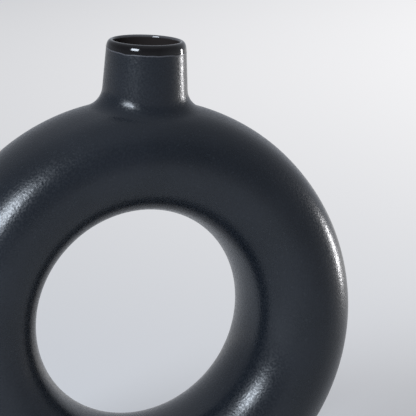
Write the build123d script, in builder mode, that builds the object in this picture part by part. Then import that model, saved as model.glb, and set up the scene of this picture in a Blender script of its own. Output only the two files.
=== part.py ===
from build123d import *
import math
import os

# Donut vase: a hollow stoneware ring with a short open neck, standing on a flat foot.
# Millimetres, +Z up. The ring faces -Y. The origin is under the middle of the foot, on
# the surface that the vase stands on.

# Ring, measured over the glaze
ring_d = 200.0  # across the ring
tube_w = 50.0  # radial width of the tube
tube_depth = 65.0  # front to back
tube_round_share = 0.95  # radius of the front and back rounds, of half the tube's width

# Neck, measured over the glaze
neck_h = 27.5  # from the ring's crest to the rim
neck_root_d = 39.5  # where the side line meets the height of the crest
neck_rim_d = 36.2
neck_bore_d = 30.4  # clear opening
neck_blend_r = 10.0  # hollow round that runs the neck into the ring
hole_edge_r = 3.0  # sponged edge where the bore opens into the ring
lip_edge_r = 0.7  # small round from the bore to the top of the lip
lip_fall_h = 4.0  # height of the long round on the outside of the lip

# Clay, slip and glaze
clay_t = 4.2
glaze_t = 0.4
slip_t = 0.4
neck_stub_h = 3.0  # stub of the ring under the neck joint, above the crest
gloss_band_h = 4.7  # how far the liner glaze runs down outside, from the rim

# Foot and pads
foot_cut_h = 5.0  # slice taken off the bottom of the ring, measured over the glaze
foot_rim_w = 10.0  # bare rim that carries the pads
foot_recess_h = 1.0
bare_h = 1.5  # bare clay above the foot
pad_d = 7.0
pad_t = 1.0
pad_place_share = 0.58  # places of the pads, of the foot's half length and half width

# Heights and radii worked out from the sizes above
ring_r = ring_d / 2
tube_middle_r = ring_r - tube_w / 2
foot_z = pad_t
ring_centre_z = foot_z + ring_r - foot_cut_h
tube_top_z = ring_centre_z + tube_middle_r
crest_z = ring_centre_z + ring_r
rim_z = crest_z + neck_h
neck_joint_z = crest_z + neck_stub_h
gloss_line_z = rim_z - gloss_band_h
bore_r = neck_bore_d / 2

# The tube's section is an oval of four tangent arcs, so each coat is an exact offset of it:
# two round end arcs at the front and back, two flatter side arcs facing out and in.
half_w = tube_w / 2
half_depth = tube_depth / 2
end_arc_r = half_w * tube_round_share
end_arc_y = half_depth - end_arc_r
side_arc_r = (half_w**2 + end_arc_y**2 - end_arc_r**2) / (2 * half_w - 2 * end_arc_r)
side_arc_x = side_arc_r - half_w
arc_meeting = Vector(side_arc_x, end_arc_y).normalized()

# Half length and half width of the flat foot
foot_drop = ring_centre_z - foot_z
foot_out = foot_drop - tube_middle_r
foot_half_x = math.sqrt((ring_r - glaze_t) ** 2 - foot_drop**2)
if foot_out > arc_meeting.X * (end_arc_r - glaze_t):
    foot_half_y = math.sqrt((side_arc_r - glaze_t) ** 2 - (foot_out + side_arc_x) ** 2)
else:
    foot_half_y = math.sqrt((end_arc_r - glaze_t) ** 2 - foot_out**2) + end_arc_y


def neck_side_r(height):
    """Radius of the neck's straight side at a height, over the glaze."""
    climb_share = (height - crest_z) / neck_h
    return (neck_root_d + (neck_rim_d - neck_root_d) * climb_share) / 2


def vase_form(inset, low_r, high_r, top_z, blend_r, floor_z):
    """A solid ring and neck, this far inside the glazed surface, cut flat at its floor."""
    meet_x = arc_meeting.X * (end_arc_r - inset)
    meet_y = arc_meeting.Y * (end_arc_r - inset) + end_arc_y
    # The side arcs are drawn as conics, whose middle point lies where the end tangents cross
    cross_x = (side_arc_r - inset) / arc_meeting.X - side_arc_x
    arc_weights = (1, arc_meeting.X, 1)
    outer_front = (tube_middle_r + meet_x, -meet_y)
    outer_back = (tube_middle_r + meet_x, meet_y)
    inner_front = (tube_middle_r - meet_x, -meet_y)
    inner_back = (tube_middle_r - meet_x, meet_y)
    with BuildPart() as form:
        with BuildSketch(Plane.XY.offset(ring_centre_z)):
            with BuildLine():
                Bezier(outer_front, (tube_middle_r + cross_x, 0), outer_back, weights=arc_weights)
                ThreePointArc(outer_back, (tube_middle_r, half_depth - inset), inner_back)
                Bezier(inner_back, (tube_middle_r - cross_x, 0), inner_front, weights=arc_weights)
                ThreePointArc(inner_front, (tube_middle_r, inset - half_depth), outer_front)
            make_face()
        revolve(axis=Axis((0, 0, ring_centre_z), (0, 1, 0)))
        with BuildSketch(Plane.XZ):
            with BuildLine():
                Polyline((0, tube_top_z), (low_r, tube_top_z), (high_r, top_z), (0, top_z), close=True)
            make_face()
        revolve(axis=Axis.Z)
        neck_root = form.edges().filter_by(GeomType.BSPLINE).sort_by(Axis.Z)[-1]
        fillet(neck_root, radius=blend_r)
        split(bisect_by=Plane.XY.offset(floor_z), keep=Keep.TOP)
    return form.part


def outside_form(inset, top_z):
    """The outside of the vase, this far inside the glazed surface."""
    low_r = neck_side_r(tube_top_z) - inset
    high_r = neck_side_r(top_z) - inset
    return vase_form(inset, low_r, high_r, top_z, neck_blend_r + inset, foot_z)


def hollow_form(coat, top_z):
    """The hollow of the vase and its straight bore, this far inside the clay's inner face."""
    wall = glaze_t + clay_t + coat
    hollow_bore_r = bore_r + glaze_t - coat
    edge_r = hole_edge_r - glaze_t + coat
    return vase_form(wall, hollow_bore_r, hollow_bore_r, top_z, edge_r, foot_z + clay_t + coat)


def lip_waste(inset):
    """What comes off a square rim when its lip is rounded, this far inside the glazed surface."""
    crest_r = bore_r + lip_edge_r
    top_z = rim_z - inset
    edge_z = rim_z - lip_edge_r
    edge_middle = (lip_edge_r - inset) * math.sqrt(0.5)
    fall_z = rim_z - lip_fall_h
    clear_z = rim_z + lip_fall_h
    edge_start = (bore_r + inset, edge_z)
    fall_end = (neck_side_r(fall_z) - inset, fall_z)
    with BuildPart() as waste:
        with BuildSketch(Plane.XZ):
            with BuildLine():
                ThreePointArc(edge_start, (crest_r - edge_middle, edge_z + edge_middle), (crest_r, top_z))
                Bezier((crest_r, top_z), (neck_side_r(top_z) - inset, top_z), fall_end)
                Polyline(fall_end, (ring_r, fall_z), (ring_r, clear_z), (0, clear_z), (0, edge_z), edge_start)
            make_face()
        revolve(axis=Axis.Z)
    return waste.part


os.makedirs("parts", exist_ok=True)
clay_outside = outside_form(glaze_t, rim_z - glaze_t)
clay_hollow = hollow_form(0, rim_z)

# The clay body before it is parted into shells and collar, with a shallow recess under the foot
with BuildPart() as clay_body:
    add(clay_outside)
    add(clay_hollow, mode=Mode.SUBTRACT)
    with BuildSketch(Plane.XY.offset(foot_z)):
        Ellipse(foot_half_x - foot_rim_w, foot_half_y - foot_rim_w)
    extrude(amount=foot_recess_h, mode=Mode.SUBTRACT)

# Ring: everything below the neck joint, luted together from a front and a back half shell
with BuildPart() as ring_body:
    add(clay_body.part)
    split(bisect_by=Plane.XY.offset(neck_joint_z - slip_t / 2), keep=Keep.BOTTOM)

with BuildPart() as ring_front_half:
    add(ring_body.part)
    split(bisect_by=Plane.XZ.offset(slip_t / 2), keep=Keep.TOP)
ring_front_half.part.label = "ring_front_half"
export_step(ring_front_half.part, "parts/ring_front_half.step")

with BuildPart() as ring_back_half:
    add(ring_body.part)
    split(bisect_by=Plane.XZ.offset(-slip_t / 2), keep=Keep.BOTTOM)
ring_back_half.part.label = "ring_back_half"
export_step(ring_back_half.part, "parts/ring_back_half.step")

# Slip between the half shells, along the outer and the inner edge of the ring
with BuildPart() as seam_slip:
    add(ring_body.part)
    split(bisect_by=Plane.XZ.offset(slip_t / 2), keep=Keep.BOTTOM)
    split(bisect_by=Plane.XZ.offset(-slip_t / 2), keep=Keep.TOP)
seam_slip.part.label = "seam_slip"
export_step(seam_slip.part, "parts/seam_slip.step")

# Slip between the stub of the ring and the neck collar
with BuildPart() as neck_slip:
    add(clay_body.part)
    split(bisect_by=Plane.XY.offset(neck_joint_z - slip_t / 2), keep=Keep.TOP)
    split(bisect_by=Plane.XY.offset(neck_joint_z + slip_t / 2), keep=Keep.BOTTOM)
neck_slip.part.label = "neck_slip"
export_step(neck_slip.part, "parts/neck_slip.step")

# Neck collar, with the clay lip rounded a little inside and a long way outside
with BuildPart() as neck_collar:
    add(clay_body.part)
    split(bisect_by=Plane.XY.offset(neck_joint_z + slip_t / 2), keep=Keep.TOP)
    add(lip_waste(glaze_t), mode=Mode.SUBTRACT)
neck_collar.part.label = "neck_collar"
export_step(neck_collar.part, "parts/neck_collar.step")

# Liner glaze: a coat on the whole hollow, closed by a cap that rolls over the lip
with BuildPart() as lining:
    add(hollow_form(0, gloss_line_z))
    add(hollow_form(glaze_t, rim_z), mode=Mode.SUBTRACT)

with BuildPart() as gloss_glaze:
    with BuildSketch(Plane.XZ):
        with BuildLine():
            Polyline(
                (bore_r, gloss_line_z),
                (neck_side_r(gloss_line_z), gloss_line_z),
                (neck_side_r(rim_z), rim_z),
                (bore_r, rim_z),
                close=True,
            )
        make_face()
    revolve(axis=Axis.Z)
    add(lip_waste(0), mode=Mode.SUBTRACT)
    add(neck_collar.part, mode=Mode.SUBTRACT)
    add(lining.part)
gloss_glaze.part.label = "gloss_glaze"
export_step(gloss_glaze.part, "parts/gloss_glaze.step")

# Satin glaze: a coat on the whole outside, from the liner glaze's edge to just above the foot
with BuildPart() as matte_glaze:
    add(outside_form(0, gloss_line_z))
    add(clay_outside, mode=Mode.SUBTRACT)
    split(bisect_by=Plane.XY.offset(foot_z + bare_h), keep=Keep.TOP)
matte_glaze.part.label = "matte_glaze"
export_step(matte_glaze.part, "parts/matte_glaze.step")

# Protector pads under the bare rim of the foot
with BuildPart() as base_pads:
    with BuildSketch():
        with GridLocations(2 * foot_half_x * pad_place_share, 2 * foot_half_y * pad_place_share, 2, 2):
            Circle(pad_d / 2)
    extrude(amount=pad_t)
base_pads.part.label = "base_pads"
export_step(base_pads.part, "parts/base_pads.step")
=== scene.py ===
import math

import bmesh
import bpy
import numpy as np
from mathutils import Matrix, Vector, noise


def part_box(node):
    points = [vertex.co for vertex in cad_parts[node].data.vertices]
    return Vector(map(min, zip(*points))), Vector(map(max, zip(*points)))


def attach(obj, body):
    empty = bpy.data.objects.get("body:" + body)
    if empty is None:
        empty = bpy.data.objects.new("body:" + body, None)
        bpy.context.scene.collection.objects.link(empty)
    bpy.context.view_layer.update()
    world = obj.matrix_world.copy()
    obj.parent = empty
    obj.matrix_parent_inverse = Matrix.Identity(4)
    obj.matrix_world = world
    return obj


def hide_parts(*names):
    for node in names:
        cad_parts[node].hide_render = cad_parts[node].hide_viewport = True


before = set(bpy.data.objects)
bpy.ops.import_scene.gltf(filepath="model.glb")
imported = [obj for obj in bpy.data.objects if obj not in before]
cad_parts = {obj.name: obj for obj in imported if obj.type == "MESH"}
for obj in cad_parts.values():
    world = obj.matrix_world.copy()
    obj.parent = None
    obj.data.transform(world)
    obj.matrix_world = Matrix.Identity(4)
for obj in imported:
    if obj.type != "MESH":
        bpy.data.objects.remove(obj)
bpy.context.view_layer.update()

# Donut vase in satin black glaze, with a gloss black liner glaze that rolls over the lip.
# Metres, +Z up, the vase faces -Y and stands on z = 0.

MM = 0.001

# Ring, measured over the glaze
ring_r = 100 * MM
tube_w = 50 * MM
tube_depth = 65 * MM
tube_round_share = 0.95
foot_cut_h = 5 * MM

# Neck, measured over the glaze
neck_h = 27.5 * MM
neck_root_r = 19.75 * MM
neck_rim_r = 18.1 * MM
bore_r = 15.2 * MM
neck_blend_r = 10 * MM
hole_edge_r = 3 * MM
lip_edge_r = 0.7 * MM
lip_inner_h = 1.5 * MM
lip_fall_h = 4 * MM

# Clay and glaze
clay_t = 4.2 * MM
glaze_t = 0.4 * MM
bare_h = 1.5 * MM

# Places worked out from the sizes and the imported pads
foot_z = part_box("base_pads")[1].z
ring_middle_r = ring_r - tube_w / 2
ring_centre_z = foot_z + ring_r - foot_cut_h
tube_top_z = ring_centre_z + ring_middle_r
crest_z = ring_centre_z + ring_r
rim_z = crest_z + neck_h
hollow_inset = clay_t + 2 * glaze_t
neck_slope = (neck_rim_r - neck_root_r) / neck_h

# The tube's section: four tangent arcs, two flatter ones facing out and in, two round at front and back
half_w = tube_w / 2
end_arc_r = half_w * tube_round_share
end_arc_y = tube_depth / 2 - end_arc_r
side_arc_r = (half_w**2 + end_arc_y**2 - end_arc_r**2) / (2 * half_w - 2 * end_arc_r)
side_arc_x = side_arc_r - half_w
arc_turn = math.atan2(end_arc_y, side_arc_x)
side_length = side_arc_r * arc_turn
quarter_girth = side_length + end_arc_r * (math.pi / 2 - arc_turn)

# Mesh steps: round the ring, round the tube, and half the block of cells that the neck takes
RING_STEPS = 360
TUBE_STEPS = 128
NECK_RING_CELLS = 18
NECK_TUBE_CELLS = 21


def ring_points(turn, girth, inset):
    """Points of the ring, from the angle off the crest and the way round the tube off its outer line."""
    way = (girth + 2 * quarter_girth) % (4 * quarter_girth) - 2 * quarter_girth
    facing_in = np.abs(way) > quarter_girth
    near = np.where(facing_in, 2 * quarter_girth - np.abs(way), np.abs(way))
    on_side = near <= side_length
    tilt = np.where(on_side, near / side_arc_r, arc_turn + (near - side_length) / end_arc_r)
    arc_r = np.where(on_side, side_arc_r, end_arc_r) - inset
    out = np.where(on_side, -side_arc_x, 0) + arc_r * np.cos(tilt)
    back = np.where(on_side, 0, end_arc_y) + arc_r * np.sin(tilt)
    radius = ring_middle_r + np.where(facing_in, -out, out)
    across = radius * np.sin(turn)
    height = ring_centre_z + radius * np.cos(turn)
    return np.stack([across, np.sign(way) * back, height], -1)


def place_on_ring(points):
    """Turn and girth of the nearest point of the ring's outer side, and the distance from its glaze."""
    x, y, z = np.moveaxis(points, -1, 0)
    turn = np.arctan2(x, z - ring_centre_z)
    out = np.hypot(x, z - ring_centre_z) - ring_middle_r
    back = np.abs(y)
    side_tilt = np.arctan2(back, out + side_arc_x)
    end_tilt = np.arctan2(back - end_arc_y, out)
    on_side = side_tilt <= arc_turn
    side_gap = np.hypot(out + side_arc_x, back) - side_arc_r
    end_gap = np.hypot(out, back - end_arc_y) - end_arc_r
    girth = np.where(on_side, side_tilt * side_arc_r, side_length + (end_tilt - arc_turn) * end_arc_r)
    return turn, np.sign(y) * girth, np.where(on_side, side_gap, end_gap)


def round_neck(radius, angle, height):
    """Points at a radius from the neck's axis; the angle runs from the front towards +X."""
    return np.stack([radius * np.sin(angle), -radius * np.cos(angle), height + 0 * angle], -1)


def root_ball(angle, inset, wall_r, slope, ball_r):
    """Centres of a ball that rolls between the ring and the neck's wall, and its touch on the wall."""
    lean = math.hypot(1, slope)
    low = np.full_like(angle, tube_top_z)
    high = np.full_like(angle, rim_z)
    halvings = 40
    for _ in range(halvings):
        middle = (low + high) / 2
        centre = round_neck(wall_r + slope * (middle - crest_z) + ball_r * lean, angle, middle)
        too_low = place_on_ring(centre)[2] + inset < ball_r
        low = np.where(too_low, middle, low)
        high = np.where(too_low, high, middle)
    touch_z = middle + ball_r * slope / lean
    return centre, round_neck(wall_r + slope * (touch_z - crest_z), angle, touch_z), touch_z


def wrap(column, row):
    """A place of the ring's grid, counted from the crest's outer line both ways."""
    column = (column + RING_STEPS // 2) % RING_STEPS - RING_STEPS // 2
    row = (row + TUBE_STEPS // 2) % TUBE_STEPS - TUBE_STEPS // 2
    return column, row


def ring_grid():
    """Numbered places and faces of the ring's grid, without the block of cells that the neck takes."""
    index = {}
    for i in range(RING_STEPS):
        for j in range(TUBE_STEPS):
            column, row = wrap(i, j)
            if abs(column) >= NECK_RING_CELLS or abs(row) >= NECK_TUBE_CELLS:
                index[column, row] = len(index)
    faces = []
    for column in range(-RING_STEPS // 2, RING_STEPS // 2):
        for row in range(-TUBE_STEPS // 2, TUBE_STEPS // 2):
            beside_neck = -NECK_RING_CELLS <= column < NECK_RING_CELLS
            if beside_neck and -NECK_TUBE_CELLS <= row < NECK_TUBE_CELLS:
                continue
            corners = [(column, row), (column + 1, row), (column + 1, row + 1), (column, row + 1)]
            faces.append([index[wrap(*corner)] for corner in corners])
    return index, faces


def block_edge():
    """Places round the edge of the block that the neck takes, in order."""
    wide, deep = NECK_RING_CELLS, NECK_TUBE_CELLS
    edge = [(i, -deep) for i in range(-wide, wide)] + [(wide, j) for j in range(-deep, deep)]
    edge += [(i, deep) for i in range(wide, -wide, -1)] + [(-wide, j) for j in range(deep, -deep, -1)]
    return edge


def neck_rows(edge_places, inset, wall_r, slope, ball_r, apron_rows, root_rows, upper_rows):
    """Rows of points from the block's edge over the ring, up the root's hollow round and up the neck."""
    edge_points = ring_points(edge_places[:, 0], edge_places[:, 1], inset)
    angle = np.arctan2(edge_points[:, 0], -edge_points[:, 1])
    centre, wall_touch, touch_z = root_ball(angle, inset, wall_r, slope, ball_r)
    turn, girth, _ = place_on_ring(centre)
    ring_touch = ring_points(turn, girth, inset)
    rows = []
    for step in range(1, apron_rows + 1):
        share = step / apron_rows
        way = edge_places + (np.stack([turn, girth], -1) - edge_places) * share
        rows.append(ring_points(way[:, 0], way[:, 1], inset))
    to_ring = (ring_touch - centre) / ball_r
    to_wall = (wall_touch - centre) / ball_r
    sweep = np.arccos(np.clip((to_ring * to_wall).sum(-1), -1, 1))[:, None]
    for step in range(1, root_rows + 1):
        share = step / root_rows
        ring_part = to_ring * np.sin((1 - share) * sweep)
        wall_part = to_wall * np.sin(share * sweep)
        towards = (ring_part + wall_part) / np.sin(sweep)
        rows.append(centre + ball_r * towards)
    rows += [round_neck(radius, angle, height) for radius, height in upper_rows(angle, touch_z)]
    return rows


def vase_skin(name, inset, wall_r, slope, ball_r, apron_rows, root_rows, upper_rows):
    """A coat of the vase, from the ring up the neck, in four-sided faces."""
    index, faces = ring_grid()
    grid_steps = (2 * math.pi / RING_STEPS, 4 * quarter_girth / TUBE_STEPS)
    places = np.array(list(index), float)
    points = [ring_points(places[:, 0] * grid_steps[0], places[:, 1] * grid_steps[1], inset)]
    edge = block_edge()
    edge_places = np.array(edge, float) * grid_steps
    below = [index[place] for place in edge]
    start = len(index)
    rows = neck_rows(edge_places, inset, wall_r, slope, ball_r, apron_rows, root_rows, upper_rows)
    for row_points in rows:
        above = list(range(start, start + len(edge)))
        for k in range(len(edge)):
            after = (k + 1) % len(edge)
            faces.append([below[k], below[after], above[after], above[k]])
        points.append(row_points)
        below = above
        start += len(edge)
    mesh = bpy.data.meshes.new(name)
    mesh.from_pydata(np.concatenate(points).tolist(), [], faces)
    piece = bpy.data.objects.new(name, mesh)
    bpy.context.scene.collection.objects.link(piece)
    return piece


def outside_r(height):
    """Radius of the neck's outside at a height, with the long round at the lip."""
    down = np.sqrt(np.clip((rim_z - height) / lip_fall_h, 0, 1))
    crest_r = bore_r + lip_edge_r
    fall_r = neck_rim_r - neck_slope * lip_fall_h
    on_round = crest_r * (1 - down) ** 2 + neck_rim_r * 2 * down * (1 - down) + fall_r * down**2
    on_side = neck_root_r + neck_slope * (height - crest_z)
    return np.where(height > rim_z - lip_fall_h, on_round, on_side)


def gloss_drop(angle):
    """How far the liner glaze runs down from the rim, at an angle round the neck."""
    mean_mm = 4.35
    lean = 0.95 * np.cos(angle - math.radians(25))
    lobes = 0.25 * np.sin(3 * angle + math.radians(249))
    ripple = 0.09 * np.sin(9 * angle + 2) + 0.07 * np.sin(14 * angle) + 0.04 * np.sin(23 * angle + 1)
    return (mean_mm + lean + lobes + ripple) * MM


def satin_rows(angle, touch_z):
    """Rows up the outside of the neck, to a little way under the liner glaze."""
    lap = 0.5 * MM
    top = rim_z - gloss_drop(angle) + lap
    steps = 24
    for step in range(1, steps + 1):
        height = touch_z + (top - touch_z) * step / steps
        yield outside_r(height), height


def liner_rows(angle, touch_z):
    """Rows up the bore, over the lip and down the outside to the liner glaze's wavy edge."""
    bore_top = rim_z - lip_inner_h
    bore_steps = 12
    for step in range(1, bore_steps + 1):
        yield bore_r + 0 * angle, touch_z + (bore_top - touch_z) * step / bore_steps
    lip_steps = 8
    for step in range(1, lip_steps + 1):
        tilt = math.pi / 2 * step / lip_steps
        lip_r = bore_r + lip_edge_r * (1 - math.cos(tilt))
        yield lip_r + 0 * angle, bore_top + lip_inner_h * math.sin(tilt)
    # The thick bead at the edge, as heights over the edge and how proud it stands, in millimetres
    bead = ((0.9, 0.06), (0.6, 0.1), (0.38, 0.13), (0.2, 0.12), (0.08, 0.07), (0, -0.05))
    bead_top_mm, bead_top_proud_mm = bead[0]
    edge = rim_z - gloss_drop(angle)
    bead_top = edge + bead_top_mm * MM
    fall_steps = 16
    for step in range(1, fall_steps):
        share = step / fall_steps
        height = rim_z - (rim_z - bead_top) * share**2
        yield outside_r(height) + bead_top_proud_mm * MM * share, height
    for above_edge, proud in bead:
        height = edge + above_edge * MM
        yield outside_r(height) + proud * MM, height


def soften(piece, relief, wave_length):
    """Opens a skin for editing and moves it in and out by a small, hand-made unevenness."""
    edit = bmesh.new()
    edit.from_mesh(piece.data)
    bmesh.ops.recalc_face_normals(edit, faces=edit.faces)
    edit.normal_update()
    moves = [v.normal * (relief * noise.noise(v.co / wave_length)) for v in edit.verts]
    for vertex, move in zip(edit.verts, moves):
        vertex.co += move
    return edit


def close_mesh(piece, edit):
    """Puts the edited skin back in its piece, with smooth shading."""
    for face in edit.faces:
        face.smooth = True
    edit.to_mesh(piece.data)
    edit.free()
    return piece


def cut_at(edit, height):
    """Takes away what is below a height and returns the edges of the cut."""
    everything = list(edit.verts) + list(edit.edges) + list(edit.faces)
    level = {"plane_co": (0, 0, height), "plane_no": (0, 0, 1)}
    cut = bmesh.ops.bisect_plane(edit, geom=everything, dist=0.001 * MM, clear_inner=True, **level)
    return [e for e in cut["geom_cut"] if isinstance(e, bmesh.types.BMEdge)]


def make_satin_coat():
    """The satin glaze on the whole outside, rolled in at its lower edge above the bare foot."""
    rolled_drop = glaze_t * 0.3
    piece = vase_skin(
        "satin_coat", inset=0, wall_r=neck_root_r, slope=neck_slope, ball_r=neck_blend_r,
        apron_rows=10, root_rows=14, upper_rows=satin_rows,
    )
    edit = soften(piece, relief=0.07 * MM, wave_length=34 * MM)
    edge = cut_at(edit, foot_z + bare_h)
    edit.normal_update()
    rolled = bmesh.ops.extrude_edge_only(edit, edges=edge)
    for vertex in (v for v in rolled["geom"] if isinstance(v, bmesh.types.BMVert)):
        inward = Vector((vertex.normal.x, vertex.normal.y, 0)).normalized()
        vertex.co -= inward * glaze_t + Vector((0, 0, rolled_drop))
    return close_mesh(piece, edit)


def make_liner_coat():
    """The liner glaze: the whole hollow with its flat floor, the bore, the lip and the band outside."""
    piece = vase_skin(
        "liner_coat", inset=hollow_inset, wall_r=bore_r, slope=0, ball_r=hole_edge_r,
        apron_rows=14, root_rows=8, upper_rows=liner_rows,
    )
    edit = soften(piece, relief=0.02 * MM, wave_length=25 * MM)
    edge = cut_at(edit, foot_z + hollow_inset)
    bmesh.ops.holes_fill(edit, edges=edge)
    for face in edit.faces:
        face.normal_flip()
    return close_mesh(piece, edit)


def mark_edge(piece):
    """Keeps each point's height over the wavy edge and its distance from the lip's crest, in millimetres.

    Points inside the neck count as a neck's height over the edge.
    """
    places = np.empty(len(piece.data.vertices) * 3)
    piece.data.vertices.foreach_get("co", places)
    x, y, z = places.reshape(-1, 3).T
    over_edge = (z - rim_z + gloss_drop(np.arctan2(x, -y))) / MM
    radius = np.hypot(x, y)
    heights = np.where(radius > bore_r + lip_edge_r, over_edge, neck_h / MM)
    crest_r = bore_r + lip_edge_r * 0.6
    from_crest = np.hypot(radius - crest_r, z - rim_z) / MM
    for name, values in (("over_edge", heights), ("from_crest", from_crest)):
        piece.data.attributes.new(name, "FLOAT", "POINT").data.foreach_set("value", values)


class Shade:
    """A value, colour or vector in a finish. Arithmetic on values adds Math nodes."""

    def __init__(self, finish, socket):
        self.finish = finish
        self.socket = socket

    def reckon(self, operation, first, second):
        return self.finish.node("ShaderNodeMath", {"operation": operation}, {0: first, 1: second})

    def __add__(self, other):
        return self.reckon("ADD", self, other)

    def __radd__(self, other):
        return self.reckon("ADD", other, self)

    def __sub__(self, other):
        return self.reckon("SUBTRACT", self, other)

    def __rsub__(self, other):
        return self.reckon("SUBTRACT", other, self)

    def __mul__(self, other):
        return self.reckon("MULTIPLY", self, other)

    def __rmul__(self, other):
        return self.reckon("MULTIPLY", other, self)

    def __pow__(self, other):
        return self.reckon("POWER", self, other)

    def larger(self, other):
        return self.reckon("MAXIMUM", self, other)

    def rise(self, start, end):
        """0 below the start, 1 above the end, and a smooth step between them."""
        values = {"Value": self, "From Min": start, "From Max": end}
        return self.finish.node("ShaderNodeMapRange", {"interpolation_type": "SMOOTHSTEP"}, values)


class Finish:
    """The node tree of one material or of the world."""

    def __init__(self, owner):
        owner.use_nodes = True
        self.owner = owner
        self.tree = owner.node_tree
        self.tree.nodes.clear()

    def node(self, kind, settings=None, inputs=None, output=0):
        """Adds a node, sets its settings, then its inputs, and gives one of its outputs."""
        made = self.tree.nodes.new(kind)
        for name, value in (settings or {}).items():
            setattr(made, name, value)
        for name, value in (inputs or {}).items():
            if isinstance(value, Shade):
                self.tree.links.new(value.socket, made.inputs[name])
            else:
                made.inputs[name].default_value = value
        return Shade(self, made.outputs[output]) if made.outputs else None

    def place(self):
        """Where a point of the surface lies, in metres."""
        return self.node("ShaderNodeTexCoord", output="Object")

    def along(self, vector, axis):
        """One coordinate of a vector."""
        return self.node("ShaderNodeSeparateXYZ", None, {0: vector}, axis)

    def kept(self, name):
        """A value that the mesh keeps at each of its points."""
        return self.node("ShaderNodeAttribute", {"attribute_name": name}, output="Fac")

    def grain(self, scale, detail=2, rough=0.5, seed=0):
        """Even noise from 0 to 1, with this many features in a metre."""
        values = {"Vector": self.place(), "Scale": scale, "Detail": detail, "Roughness": rough, "W": seed}
        return self.node("ShaderNodeTexNoise", {"noise_dimensions": "4D"}, values)

    def blend(self, share, low, high):
        """Mixes two colours, each given as red, green and blue or as another node's output."""
        low, high = ((*colour, 1) if isinstance(colour, tuple) else colour for colour in (low, high))
        return self.node("ShaderNodeMix", {"data_type": "RGBA"}, {0: share, 6: low, 7: high}, output=2)

    def coat(self, colour, roughness, relief, relief_depth, **fixed):
        """The surface shader, with a bump whose heights run from 0 to relief_depth metres."""
        heights = {"Strength": 1.0, "Distance": relief_depth, "Height": relief}
        bump = self.node("ShaderNodeBump", None, heights)
        values = {"Base Color": colour, "Roughness": roughness, "Normal": bump}
        values.update({name.replace("_", " "): value for name, value in fixed.items()})
        shader = self.node("ShaderNodeBsdfPrincipled", None, values)
        self.node("ShaderNodeOutputMaterial", None, {"Surface": shader})
        return self.owner


def new_finish(name):
    """An empty material, ready for its nodes."""
    return Finish(bpy.data.materials.new(name))


def satin_black_glaze():
    """Blue-black satin glaze with faint clouds and a fine eggshell texture, thin and paler at the foot."""
    finish = new_finish("satin_black_glaze")
    height = finish.along(finish.place(), "Z")
    eggshell = finish.grain(900, detail=0)
    crystals = finish.grain(1150, detail=0, seed=15).rise(0.3, 0.7)
    dimples = finish.grain(420, seed=3)
    clouds = finish.grain(28, detail=3, rough=0.55, seed=7)
    specks = finish.grain(1100, detail=0, seed=11).rise(0.68, 0.8)
    edge_z = foot_z + bare_h
    thin_h = 1.6 * MM
    thin = 1 - height.rise(edge_z, edge_z + thin_h)
    body = finish.blend(clouds.rise(0.3, 0.7), (0.0076, 0.0102, 0.0144), (0.0110, 0.0140, 0.0191))
    speckled = finish.blend(specks * 0.5, body, (0.028, 0.033, 0.040))
    colour = finish.blend(thin * 0.7, speckled, (0.060, 0.048, 0.036))
    roughness = 0.215 + crystals * 0.12 + (dimples - 0.5) * 0.08 + (clouds - 0.5) * 0.05
    relief = eggshell * 0.75 + dimples * 0.25
    return finish.coat(colour, roughness, relief, relief_depth=0.075 * MM, IOR=1.45)


def gloss_black_glaze():
    """Glossy black liner glaze with a faint orange peel and a few pinholes.

    It is milky along its edge, with a brownish painted light inside the neck and a painted highlight on the
    lip's crest.
    """
    finish = new_finish("gloss_black_glaze")
    peel = finish.grain(260, detail=1)
    clouds = finish.grain(60, seed=5)
    pinholes = finish.grain(900, detail=0, seed=9).rise(0.79, 0.84)
    over_edge = finish.kept("over_edge")
    milky = 1 - over_edge.rise(0.4, 0.75)
    # Painted light: the whole bore gets a lighter brownish tone that stands in for the light seen inside
    # it.
    inside = over_edge.rise(6, 12)
    # Painted highlight: a pale grey band along the lip's inner crest, made uneven by the clouds.
    painted_crest_highlight = (1 - finish.kept("from_crest").rise(0.5, 1.25)) * (0.5 + 0.5 * clouds)
    black = finish.blend(clouds, (0.0044, 0.0039, 0.0042), (0.0070, 0.0064, 0.0072))
    black_or_painted_bore_light = finish.blend(inside, black, (0.026, 0.022, 0.021))
    with_crest = finish.blend(painted_crest_highlight, black_or_painted_bore_light, (0.120, 0.118, 0.122))
    colour = finish.blend(milky, with_crest, (0.080, 0.081, 0.090))
    roughness = 0.07 + clouds * 0.05 + pinholes * 0.3 + milky * 0.25
    return finish.coat(colour, roughness, peel - pinholes * 0.5, relief_depth=0.012 * MM, IOR=1.46)


def bare_stoneware():
    """Unglazed buff stoneware with sand grains and iron specks."""
    finish = new_finish("bare_stoneware")
    sand = finish.grain(1300, detail=3, rough=0.65)
    tone = finish.grain(45, detail=3, seed=2)
    iron = finish.grain(620, detail=1, seed=6).rise(0.7, 0.76)
    clay = finish.blend(tone.rise(0.3, 0.7), (0.36, 0.28, 0.205), (0.46, 0.375, 0.285))
    colour = finish.blend(iron, clay, (0.10, 0.055, 0.03))
    return finish.coat(colour, 0.82 + (sand - 0.5) * 0.2, sand, relief_depth=0.12 * MM)


def fired_slip():
    """The slip in the joints: the same clay, finer and a little paler, wiped with a wet sponge."""
    finish = new_finish("fired_slip")
    wipe = finish.grain(300, detail=4, rough=0.6)
    tone = finish.grain(80, seed=4)
    colour = finish.blend(tone, (0.42, 0.34, 0.26), (0.52, 0.435, 0.34))
    return finish.coat(colour, 0.78 + (wipe - 0.5) * 0.15, wipe, relief_depth=0.05 * MM)


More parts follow.
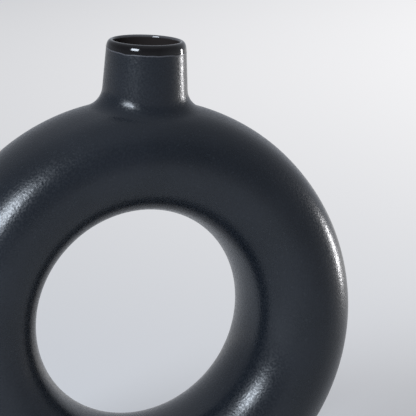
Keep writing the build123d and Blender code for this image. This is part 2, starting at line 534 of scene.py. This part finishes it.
def pad_rubber():
    """Soft dark rubber with a fine pressed grain, a little dusty."""
    finish = new_finish("pad_rubber")
    pressed = finish.grain(2200)
    dust = finish.grain(240, detail=3, rough=0.6, seed=8)
    colour = finish.blend(dust.rise(0.45, 0.75), (0.028, 0.028, 0.029), (0.075, 0.073, 0.07))
    return finish.coat(colour, 0.72 + (dust - 0.5) * 0.2, pressed, relief_depth=0.06 * MM)


def dress(node, finish):
    """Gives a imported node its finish, in every material slot."""
    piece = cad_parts[node]
    piece.data.materials.clear()
    piece.data.materials.append(finish)


def make_floor():
    """A round pale floor, with a backdrop's glow in it that grows to the right and the back."""
    floor_r = 5.5
    fade_start, fade_end = 3.5, 5.4
    edit = bmesh.new()
    bmesh.ops.create_circle(edit, cap_ends=True, segments=96, radius=floor_r)
    mesh = bpy.data.meshes.new("floor")
    edit.to_mesh(mesh)
    edit.free()
    floor = bpy.data.objects.new("floor", mesh)
    bpy.context.scene.collection.objects.link(floor)
    finish = new_finish("pale_floor")
    across = finish.along(finish.place(), "X")
    depth = finish.along(finish.place(), "Y")
    paper = finish.grain(7)
    colour = finish.blend(0.1 * paper, (0.81, 0.81, 0.815), (0.75, 0.75, 0.75))
    matt = finish.node("ShaderNodeBsdfDiffuse", None, {"Color": colour})
    seen = finish.node("ShaderNodeLightPath", output="Is Camera Ray")
    mirrored = finish.node("ShaderNodeLightPath", output="Is Glossy Ray")
    through = finish.node("ShaderNodeLightPath", output="Is Transmission Ray")
    reach = (across * across + depth * depth) ** 0.5
    sweep = depth * (0.96 - 0.47 * depth) + 0.84 * across - 0.04
    far = 0.42 * reach.rise(0.4, 1.4) + 0.4 * reach.rise(1.6, 3.0)
    far_behind = far * (0.35 + 0.65 * depth.rise(-0.6, 1.2))
    backdrop = sweep.larger(far_behind) * (seen + mirrored + through)
    glow = finish.node("ShaderNodeEmission", None, {"Color": (0.922, 0.92, 0.935, 1), "Strength": 1.0})
    paper_and_glow = finish.node("ShaderNodeMixShader", None, {0: backdrop, 1: matt, 2: glow})
    clear = finish.node("ShaderNodeBsdfTransparent")
    fade = reach.rise(fade_start, fade_end)
    faded = finish.node("ShaderNodeMixShader", None, {0: fade, 1: paper_and_glow, 2: clear})
    finish.node("ShaderNodeOutputMaterial", None, {"Surface": faded})
    mesh.materials.append(finish.owner)


def make_surround():
    """The room round the vase: dim in front, paler behind it, on the right, overhead and low down."""
    finish = Finish(bpy.context.scene.world or bpy.data.worlds.new("surround"))
    bpy.context.scene.world = finish.owner
    way = finish.node("ShaderNodeTexCoord", output="Generated")
    right = finish.along(way, "X")
    back = finish.along(way, "Y")
    up = finish.along(way, "Z")
    behind = back.rise(-0.1, 0.8) * (0.4 + 0.6 * right.rise(-0.9, 0.5))
    horizon = 1 - up.rise(0.02, 0.3)
    beside = right.rise(0.3, 1.0)
    overhead = up.rise(0.55, 1.0)
    level = 0.19 + 0.30 * behind + 0.16 * beside + 0.26 * overhead + 0.10 * horizon
    colour = finish.blend(level, (0.0, 0.0, 0.0), (0.93, 0.98, 1.08))
    light = finish.node("ShaderNodeBackground", None, {"Color": colour, "Strength": 1.0})
    finish.node("ShaderNodeOutputWorld", None, {"Surface": light})


def add_lamp(name, way, size, watts, colour, spread=180):
    """A soft rectangular lamp that faces the ring's middle; a grid on it narrows its spread, in degrees."""
    distance = 1.3
    data = bpy.data.lights.new(name, "AREA")
    data.shape = "RECTANGLE"
    data.size, data.size_y = size
    data.energy = watts
    data.spread = math.radians(spread)
    data.color = colour
    lamp = bpy.data.objects.new(name, data)
    bpy.context.scene.collection.objects.link(lamp)
    middle = Vector((0, 0, ring_centre_z))
    way = Vector(way).normalized()
    lamp.location = middle + way * distance
    lamp.rotation_mode = "QUATERNION"
    lamp.rotation_quaternion = way.to_track_quat("Z", "Y")
    lamp.visible_camera = False


def make_lamps():
    """A cool softbox at the front left and a narrow white strip low down on the right."""
    cool = (0.81, 0.895, 1.0)
    white = (0.99, 0.985, 1.0)
    add_lamp("key_softbox", (-0.672, -0.564, 0.480), size=(0.47, 0.36), watts=9.2, colour=cool, spread=145)
    add_lamp("side_strip", (0.968, 0.25, 0.04), size=(0.12, 0.31), watts=4.6, colour=white)


def make_camera():
    """The photograph's view: a long lens from the front left and a little above, turned slightly."""
    azimuth = math.radians(16.30)
    elevation = math.radians(13.94)
    roll = math.radians(2.16)
    distance = 1.4
    image_px = 416
    focal_px = 3026
    ring_centre = Vector((0, 0, ring_centre_z))
    aim = ring_centre + Vector((32.24 * MM, 0, 48.63 * MM))
    level = math.cos(elevation)
    away = Vector((-math.sin(azimuth) * level, -math.cos(azimuth) * level, math.sin(elevation)))
    data = bpy.data.cameras.new("camera")
    data.lens = focal_px / image_px * data.sensor_width
    data.clip_start = 0.05
    data.clip_end = 50
    camera = bpy.data.objects.new("camera", data)
    bpy.context.scene.collection.objects.link(camera)
    eye = ring_centre + away * distance
    forward = (aim - eye).normalized()
    right = forward.cross(Vector((0, 0, 1))).normalized()
    up = right.cross(forward)
    turned_right = right * math.cos(roll) + up * math.sin(roll)
    turned_up = up * math.cos(roll) - right * math.sin(roll)
    turn = Matrix((turned_right, turned_up, -forward)).transposed()
    camera.matrix_world = Matrix.Translation(eye) @ turn.to_4x4()
    bpy.context.scene.camera = camera


satin = make_satin_coat()
satin.data.materials.append(satin_black_glaze())
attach(satin, "root")
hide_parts("matte_glaze")

liner = make_liner_coat()
mark_edge(liner)
liner.data.materials.append(gloss_black_glaze())
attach(liner, "root")
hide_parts("gloss_glaze")

stoneware = bare_stoneware()
for clay_node in ("ring_front_half", "ring_back_half", "neck_collar"):
    dress(clay_node, stoneware)
slip = fired_slip()
for slip_node in ("seam_slip", "neck_slip"):
    dress(slip_node, slip)
dress("base_pads", pad_rubber())

make_floor()
make_surround()
make_lamps()
make_camera()
bpy.context.scene.view_settings.view_transform = "Standard"
